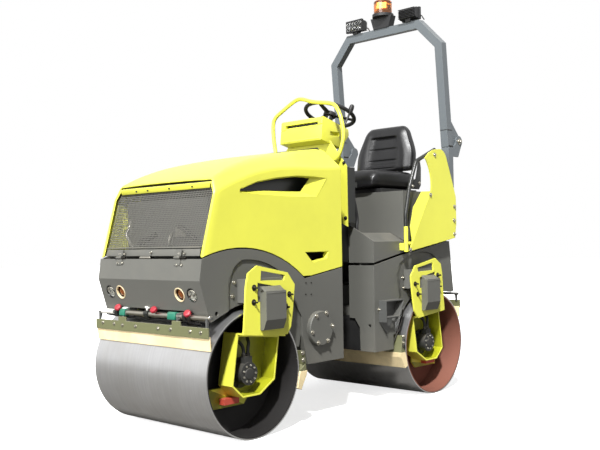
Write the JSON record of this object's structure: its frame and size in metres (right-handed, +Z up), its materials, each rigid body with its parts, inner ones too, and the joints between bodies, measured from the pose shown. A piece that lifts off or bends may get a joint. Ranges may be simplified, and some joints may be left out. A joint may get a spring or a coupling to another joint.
{
  "type": "tandem road roller",
  "caption": "Ride-on tandem road roller: two smooth steel drums in yokes, articulated frame, tilting hood, operator's seat and folding roll bar with lamps and beacon.",
  "frame": {"origin": "centre of the machine's footprint on the ground", "axes": "+Z up, -Y towards the hood (driving direction), +X towards the machine's left-hand side"},
  "size_m": [0.948, 2.059, 2.395],
  "materials": {
    "yellow_paint": "semi-gloss powder coat",
    "grey_paint": "satin paint",
    "dark_grey_paint": "satin paint",
    "roll_bar_paint": "satin paint",
    "black_paint": "satin paint",
    "drum_steel": "rolled steel, polished by use",
    "bare_steel": "machined steel",
    "olive_paint": "worn paint",
    "scraper_plastic": "cast polyurethane",
    "seat_vinyl": "moulded vinyl",
    "black_plastic": "grained plastic",
    "lamp_glass": "clear lens",
    "amber_lens": "translucent amber lens",
    "cast_metal": "rough casting",
    "red_plastic": "cast polyurethane"
  },
  "bodies": {
    "front_frame_body": {"front_side_plates": "grey_paint", "front_bed": "grey_paint", "front_bulkhead": "grey_paint", "apron": "grey_paint", "headlamps": "lamp_glass", "indicators": "lamp_glass", "hood_hinges_lower": "black_paint", "engine_block": "cast_metal", "firewall": "black_paint", "side_covers": "grey_paint", "yoke_front_left": "yellow_paint", "yoke_front_right": "yellow_paint", "isolators_front": "grey_paint", "hub_motors_front": "cast_metal", "yoke_stops_front": "red_plastic", "scraper_hanger_front": "dark_grey_paint", "scraper_carriers_front": "olive_paint", "scraper_blades_front": "scraper_plastic"},
    "front_drum_body": {"drum_front": "drum_steel"},
    "hood_body": {"hood": "yellow_paint", "grille": "dark_grey_paint", "hood_hinges_upper": "black_paint"},
    "knuckle_body": {"steering_knuckle": "cast_metal"},
    "rear_frame_body": {"rear_side_plates": "grey_paint", "rear_bed": "grey_paint", "rear_cross_members": "grey_paint", "rear_end_plate": "grey_paint", "deck": "grey_paint", "seat_box": "grey_paint", "seat_wings": "yellow_paint", "handrails": "black_paint", "handrail_posts": "yellow_paint", "seat_base": "black_plastic", "seat_cushion": "seat_vinyl", "seat_backrest": "seat_vinyl", "seat_brackets": "black_paint", "dash_panel": "yellow_paint", "dash_tower": "black_paint", "console": "yellow_paint", "guard_loop": "yellow_paint", "steering_column": "black_paint", "rops_posts": "roll_bar_paint", "steps": "dark_grey_paint", "yoke_rear_left": "yellow_paint", "yoke_rear_right": "yellow_paint", "isolators_rear": "grey_paint", "hub_motors_rear": "cast_metal", "yoke_stops_rear": "red_plastic", "dash_hose": "black_plastic", "scraper_hanger_rear": "dark_grey_paint", "scraper_carriers_rear": "olive_paint", "scraper_blades_rear": "scraper_plastic"},
    "rear_drum_body": {"drum_rear": "drum_steel"},
    "wheel_body": {"steering_wheel": "black_plastic"},
    "roll_bar_body": {"rops_arch": "roll_bar_paint", "work_lamps": "black_plastic", "beacon_base": "black_plastic", "beacon_lens": "amber_lens"},
    "barrel_body": {"steering_cylinder_barrel": "dark_grey_paint"},
    "rod_body": {"steering_cylinder_rod": "bare_steel"}
  },
  "joints": [
    {"name": "front_drum_spin", "type": "hinge", "parent": "front_frame_body", "child": "front_drum_body", "pos_m": [0, -0.7395, 0.29], "axis": [1, 0, 0], "continuous": true},
    {"name": "hood_tilt", "type": "hinge", "parent": "front_frame_body", "child": "hood_body", "pos_m": [0, -1.0185, 0.822], "axis": [1, 0, 0], "range_deg": [0, 75]},
    {"name": "steer", "type": "hinge", "parent": "front_frame_body", "child": "knuckle_body", "pos_m": [0, 0.0605, 0.42], "axis": [0, 0, 1], "range_deg": [-28, 28]},
    {"name": "oscillate", "type": "hinge", "parent": "knuckle_body", "child": "rear_frame_body", "pos_m": [0, 0.2355, 0.42], "axis": [0, 1, 0], "range_deg": [-6, 6]},
    {"name": "rear_drum_spin", "type": "hinge", "parent": "rear_frame_body", "child": "rear_drum_body", "pos_m": [0, 0.7105, 0.29], "axis": [1, 0, 0], "continuous": true},
    {"name": "steering_wheel_turn", "type": "hinge", "parent": "rear_frame_body", "child": "wheel_body", "pos_m": [0, 0.2955, 1.622], "axis": [0, 0.3665, 0.9304], "continuous": true},
    {"name": "roll_bar_fold", "type": "hinge", "parent": "rear_frame_body", "child": "roll_bar_body", "pos_m": [0, 0.9955, 1.48], "axis": [-1, 0, 0], "range_deg": [0, 100]},
    {"name": "cylinder_swing", "type": "hinge", "parent": "front_frame_body", "child": "barrel_body", "pos_m": [0.15, -0.3665, 0.42], "axis": [0, 0, 1], "range_deg": [-3, 3]},
    {"name": "cylinder_extend", "type": "slide", "parent": "barrel_body", "child": "rod_body", "axis": [0, 1, 0], "range_m": [-0.075, 0.075]}
  ],
  "couplings": [
    {"joint": "cylinder_extend", "follows": "steer", "m_per_rad": 0.1465}
  ]
}
